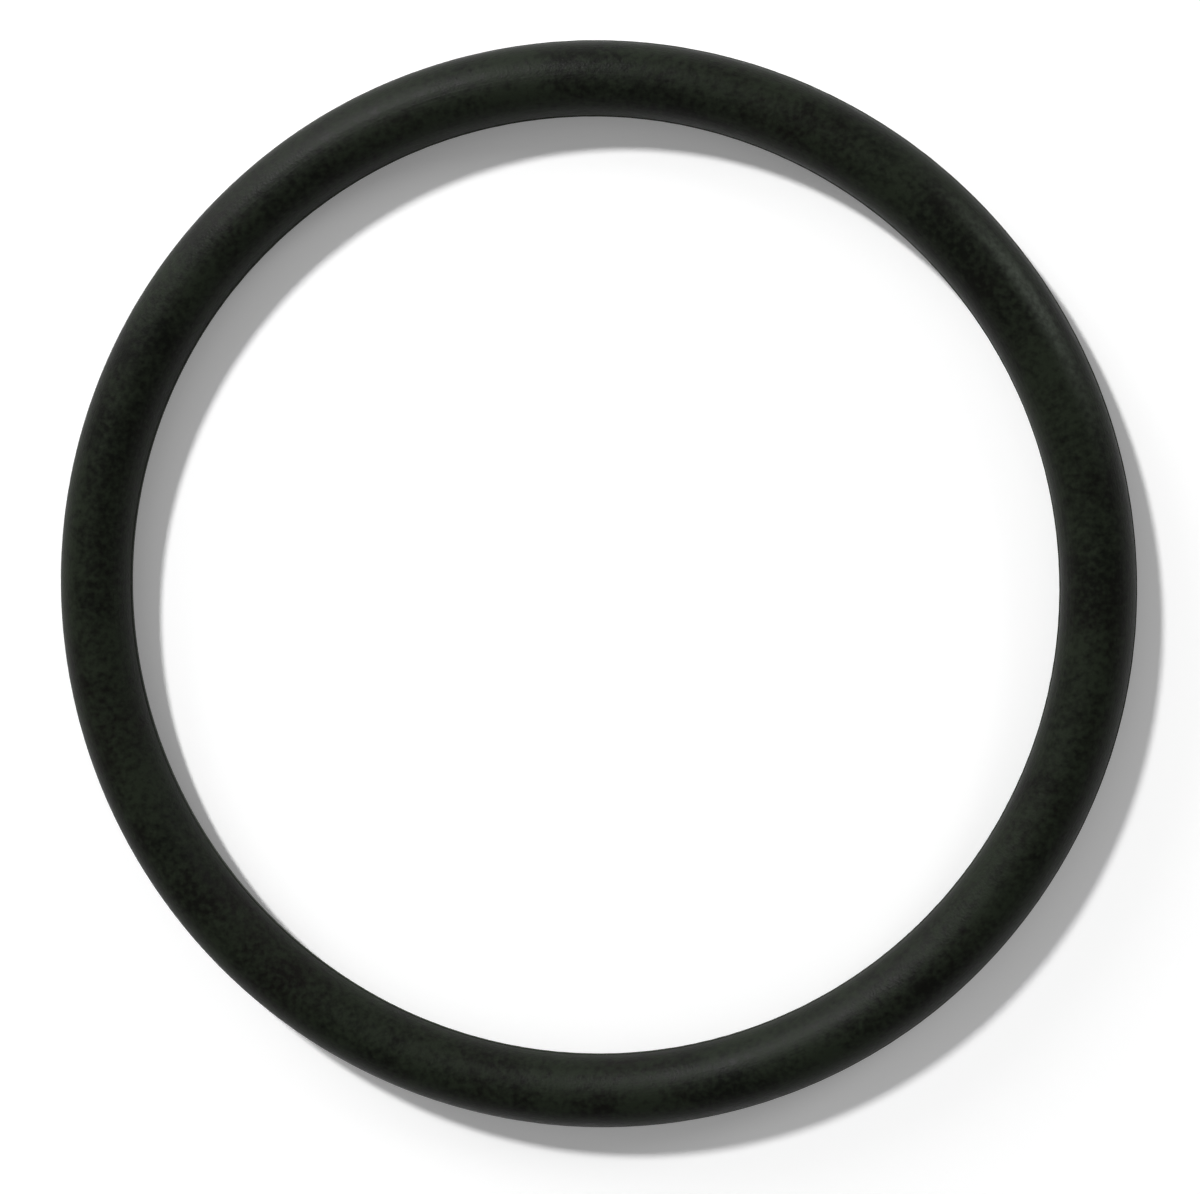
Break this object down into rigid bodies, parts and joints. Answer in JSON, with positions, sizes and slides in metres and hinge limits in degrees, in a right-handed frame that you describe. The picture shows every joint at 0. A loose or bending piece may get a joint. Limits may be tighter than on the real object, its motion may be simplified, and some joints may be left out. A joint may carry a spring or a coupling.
{
  "type": "o-ring",
  "caption": "Round rubber sealing ring of circular section, moulded in one piece, with the trimmed parting line along its inner and outer middle.",
  "frame": {"origin": "centre of the ring, on its middle plane, where the mould parts", "axes": "+Z along the ring's axis; the ring lies flat in the XY plane and looks the same from both faces"},
  "size_m": [0.0522, 0.0522, 0.0034],
  "materials": {
    "moulded_rubber": "matte to satin as moulded, black with a faint green-grey tone"
  },
  "bodies": {
    "root": {"o_ring": "moulded_rubber"}
  },
  "joints": []
}
